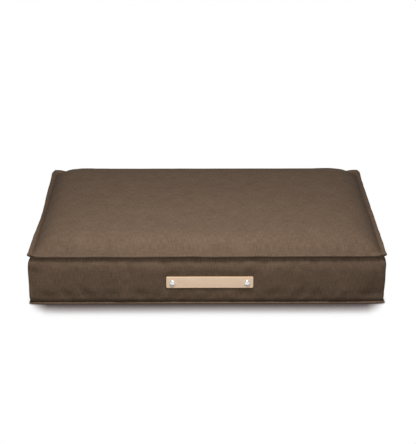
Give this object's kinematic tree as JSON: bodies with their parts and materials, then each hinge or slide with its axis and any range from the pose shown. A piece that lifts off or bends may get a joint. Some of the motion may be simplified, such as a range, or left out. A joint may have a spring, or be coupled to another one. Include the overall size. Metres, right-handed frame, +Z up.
{
  "type": "pet cushion bed",
  "caption": "Rectangular pet cushion bed: a crowned cloth cover with flanged seams and a zip at the rear, over a foam core, with a riveted leather label in front.",
  "frame": {"origin": "centre of the bed's underside, on the surface that it rests on", "axes": "+X along the long side, to the right for someone who faces the label; +Y towards the rear side with the zip, so the label faces -Y; +Z up, towards the crowned top"},
  "size_m": [0.8156, 0.6156, 0.1494],
  "materials": {
    "cover_cloth": "matte",
    "sewing_thread": "matte",
    "zip_tape": "matte",
    "zip_teeth": "satin",
    "zip_metal": "satin",
    "label_leather": "satin",
    "rivet_metal": "polished",
    "lining_cloth": "matte",
    "foam": "matte",
    "fibre": "matte"
  },
  "bodies": {
    "cushion": {"top_panel": "cover_cloth", "bottom_panel": "cover_cloth", "front_boxing": "cover_cloth", "left_boxing": "cover_cloth", "right_boxing": "cover_cloth", "rear_boxing_upper": "cover_cloth", "rear_boxing_lower": "cover_cloth", "rear_end_panel_left": "cover_cloth", "rear_end_panel_right": "cover_cloth", "top_seam_thread": "sewing_thread", "bottom_seam_thread": "sewing_thread", "corner_thread_front_left": "sewing_thread", "corner_thread_front_right": "sewing_thread", "corner_thread_rear_left": "sewing_thread", "corner_thread_rear_right": "sewing_thread", "zip_thread_upper": "sewing_thread", "zip_thread_lower": "sewing_thread", "rear_end_thread_left": "sewing_thread", "rear_end_thread_right": "sewing_thread", "zip_tape_upper": "zip_tape", "zip_tape_lower": "zip_tape", "zip_teeth_upper": "zip_teeth", "zip_teeth_lower": "zip_teeth", "zip_bottom_stop": "zip_metal", "zip_top_stop_upper": "zip_metal", "zip_top_stop_lower": "zip_metal", "label_strip": "label_leather", "rivet_cap_left": "rivet_metal", "rivet_cap_right": "rivet_metal", "rivet_base_left": "rivet_metal", "rivet_base_right": "rivet_metal", "label_backing": "lining_cloth", "inner_case_tray": "lining_cloth", "inner_case_top": "lining_cloth", "foam_core": "foam", "fibre_topper": "fibre"},
    "slider": {"zip_slider": "zip_metal"},
    "pull": {"zip_pull": "zip_metal"}
  },
  "joints": [
    {"name": "zip_slide", "type": "slide", "parent": "cushion", "child": "slider", "axis": [-1, 0, 0], "range_m": [0, 0.676]},
    {"name": "pull_hinge", "type": "hinge", "parent": "slider", "child": "pull", "pos_m": [0.338, 0.3024, 0.06], "axis": [0, 0, -1], "range_deg": [0, 178]}
  ]
}
